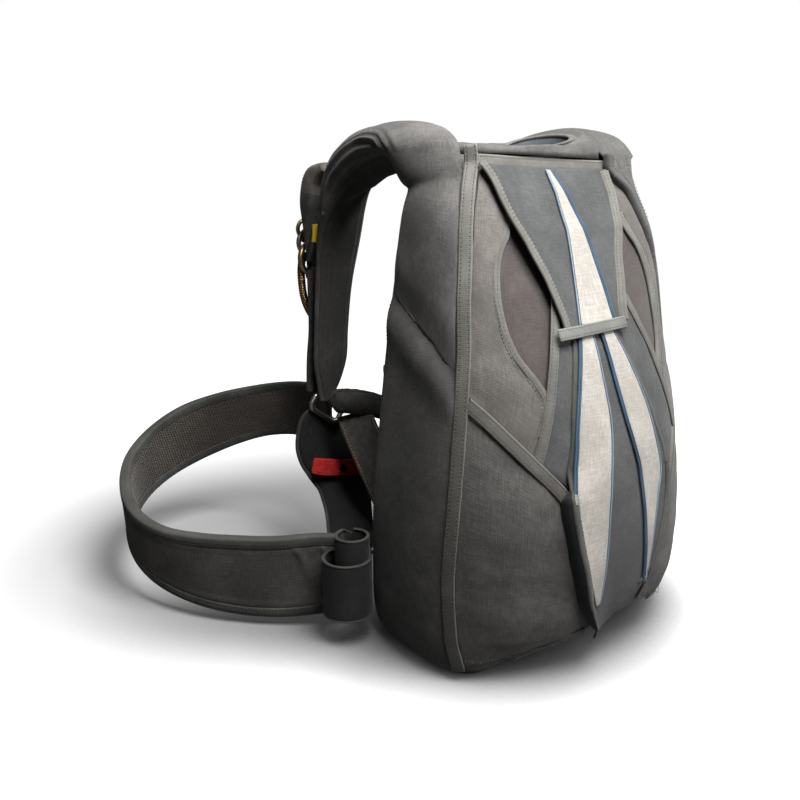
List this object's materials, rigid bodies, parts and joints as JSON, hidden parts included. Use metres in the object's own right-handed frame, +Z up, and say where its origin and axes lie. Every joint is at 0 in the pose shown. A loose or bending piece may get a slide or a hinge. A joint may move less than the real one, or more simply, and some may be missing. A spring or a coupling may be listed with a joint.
{
  "type": "packed parachute",
  "caption": "Packed sport parachute: a tapered cloth backpack container with rear flaps, curved shoulder straps with ring releases, and padded leg straps looped out in front.",
  "frame": {"origin": "middle of the flat base that the pack stands on, under the container", "axes": "+Z up; +Y the wearer's forward side, where the shoulder straps and the leg pads reach out; +X the wearer's right"},
  "size_m": [0.6662, 0.5793, 0.5251],
  "materials": {
    "charcoal_cloth": "warm charcoal woven pack cloth",
    "dark_cloth": "near-black webbing and padded cloth",
    "binding_tape": "grey ribbed binding tape, double stitched",
    "pale_cloth": "pale beige-grey woven cloth",
    "blue_piping": "blue corded piping",
    "red_webbing": "red webbing tab",
    "steel": "polished plated steel",
    "bronze_housing": "bronze-toned coiled cable housing"
  },
  "bodies": {
    "root": {"pack_body": "charcoal_cloth", "side_panel_left": "charcoal_cloth", "side_panel_right": "charcoal_cloth", "reserve_panel_left": "charcoal_cloth", "reserve_panel_right": "charcoal_cloth", "top_flap_panel_left": "charcoal_cloth", "top_flap_panel_right": "charcoal_cloth", "lower_panel_left": "charcoal_cloth", "lower_panel_right": "charcoal_cloth", "pin_flap": "charcoal_cloth", "main_flap": "charcoal_cloth", "collar": "charcoal_cloth", "shoulder_strap_left": "charcoal_cloth", "shoulder_strap_right": "charcoal_cloth", "leg_pad_left": "charcoal_cloth", "leg_pad_right": "charcoal_cloth", "back_pad": "dark_cloth", "main_flap_edge_left": "dark_cloth", "main_flap_edge_right": "dark_cloth", "riser_left": "dark_cloth", "riser_right": "dark_cloth", "lift_web_left": "dark_cloth", "lift_web_right": "dark_cloth", "hip_roll_left": "dark_cloth", "hip_roll_right": "dark_cloth", "lateral_band_left": "dark_cloth", "lateral_band_right": "dark_cloth", "hip_pad_left": "dark_cloth", "hip_pad_right": "dark_cloth", "leg_roll_left": "dark_cloth", "leg_roll_right": "dark_cloth", "side_tape_left": "binding_tape", "side_tape_right": "binding_tape", "diagonal_tape_left": "binding_tape", "diagonal_tape_right": "binding_tape", "upright_tape_left": "binding_tape", "upright_tape_right": "binding_tape", "bottom_tape_left": "binding_tape", "bottom_tape_right": "binding_tape", "top_band": "binding_tape", "keeper_band": "binding_tape", "upper_inlay": "pale_cloth", "lower_inlay_left": "pale_cloth", "lower_inlay_right": "pale_cloth", "upper_piping_left": "blue_piping", "upper_piping_right": "blue_piping", "outer_piping_left": "blue_piping", "inner_piping_right": "blue_piping", "red_tab_left": "red_webbing", "large_ring_left": "steel", "large_ring_right": "steel", "middle_ring_left": "steel", "middle_ring_right": "steel", "small_ring_left": "steel", "small_ring_right": "steel", "strap_adapter_left": "steel", "strap_adapter_right": "steel", "cable_housing_left": "bronze_housing", "cable_housing_right": "bronze_housing"}
  },
  "joints": []
}
